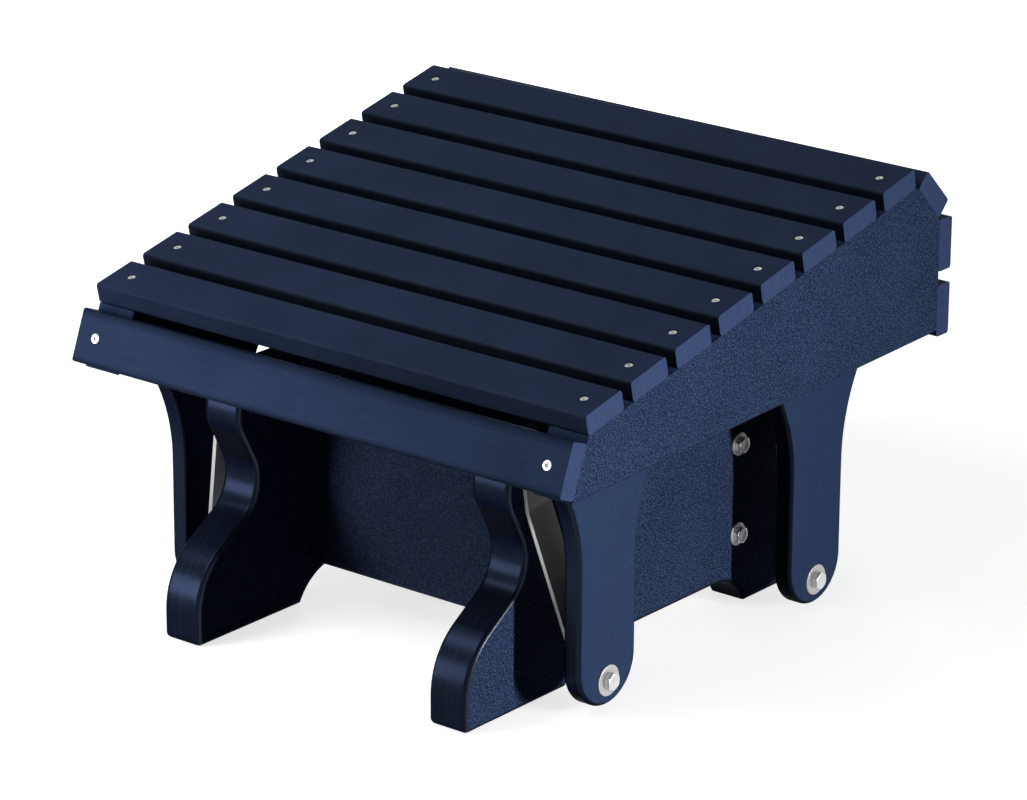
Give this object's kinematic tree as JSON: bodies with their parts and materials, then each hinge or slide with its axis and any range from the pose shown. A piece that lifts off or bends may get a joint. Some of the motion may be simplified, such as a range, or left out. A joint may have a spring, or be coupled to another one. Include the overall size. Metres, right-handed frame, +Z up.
{
  "type": "glider ottoman",
  "caption": "Slatted footrest with a sloping top that swings fore and aft on four metal links inside a fixed two-panel base.",
  "frame": {"origin": "on the floor, under the middle of the seat's width and length", "axes": "+X to the right seen from the front, +Y from the low front apron to the high rear edge, +Z up"},
  "size_m": [0.575, 0.5911, 0.4226],
  "materials": {
    "navy_lumber": "solid-coloured recycled plastic lumber, satin planed faces, pebbled sheet faces, glossy routed edges",
    "stainless_links": "rolled stainless plate with a satin finish",
    "stainless_fasteners": "plain bright stainless steel",
    "white_bushes": "natural nylon"
  },
  "bodies": {
    "base": {"front_stretcher": "navy_lumber", "left_foot": "navy_lumber", "rear_stretcher": "navy_lumber", "right_foot": "navy_lumber", "stretcher_lag_screws": "stainless_fasteners", "stretcher_washers": "stainless_fasteners", "upper_head_washers": "stainless_fasteners", "upper_lock_nuts": "stainless_fasteners", "upper_nut_washers": "stainless_fasteners", "upper_pivot_bolts": "stainless_fasteners", "upper_spacers": "stainless_fasteners"},
    "seat": {"apron_screws": "stainless_fasteners", "corner_slat": "navy_lumber", "front_apron": "navy_lumber", "front_left_leg": "navy_lumber", "front_right_leg": "navy_lumber", "left_rail": "navy_lumber", "leg_screws": "stainless_fasteners", "lower_head_washers": "stainless_fasteners", "lower_lock_nuts": "stainless_fasteners", "lower_nut_washers": "stainless_fasteners", "lower_pivot_bolts": "stainless_fasteners", "lower_spacers": "stainless_fasteners", "rear_left_leg": "navy_lumber", "rear_right_leg": "navy_lumber", "rear_slat_1": "navy_lumber", "rear_slat_2": "navy_lumber", "rear_slat_screws": "stainless_fasteners", "right_rail": "navy_lumber", "seat_slat_1": "navy_lumber", "seat_slat_2": "navy_lumber", "seat_slat_3": "navy_lumber", "seat_slat_4": "navy_lumber", "seat_slat_5": "navy_lumber", "seat_slat_6": "navy_lumber", "seat_slat_7": "navy_lumber", "seat_slat_8": "navy_lumber", "seat_slat_screws": "stainless_fasteners"},
    "front_left_link": {"front_left_link": "stainless_links", "front_left_link_bushes": "white_bushes"},
    "front_right_link": {"front_right_link": "stainless_links", "front_right_link_bushes": "white_bushes"},
    "rear_left_link": {"rear_left_link": "stainless_links", "rear_left_link_bushes": "white_bushes"},
    "rear_right_link": {"rear_right_link": "stainless_links", "rear_right_link_bushes": "white_bushes"}
  },
  "joints": [
    {"name": "front_left_swing", "type": "hinge", "parent": "base", "child": "front_left_link", "pos_m": [-0.185, -0.201, 0.221], "axis": [1, 0, 0], "range_deg": [-10, 10]},
    {"name": "front_right_swing", "type": "hinge", "parent": "base", "child": "front_right_link", "pos_m": [0.185, -0.201, 0.221], "axis": [1, 0, 0], "range_deg": [-10, 10]},
    {"name": "rear_left_swing", "type": "hinge", "parent": "base", "child": "rear_left_link", "pos_m": [-0.185, 0.1805, 0.221], "axis": [1, 0, 0], "range_deg": [-10, 10]},
    {"name": "rear_right_swing", "type": "hinge", "parent": "base", "child": "rear_right_link", "pos_m": [0.185, 0.1805, 0.221], "axis": [1, 0, 0], "range_deg": [-10, 10]},
    {"name": "seat_swing", "type": "hinge", "parent": "front_left_link", "child": "seat", "pos_m": [-0.22, -0.16975, 0.031], "axis": [1, 0, 0], "range_deg": [-12, 12]}
  ],
  "couplings": [
    {"joint": "front_right_swing", "follows": "front_left_swing", "ratio": 1},
    {"joint": "rear_left_swing", "follows": "front_left_swing", "ratio": 1},
    {"joint": "rear_right_swing", "follows": "front_left_swing", "ratio": 1},
    {"joint": "seat_swing", "follows": "front_left_swing", "ratio": -1.1943}
  ]
}
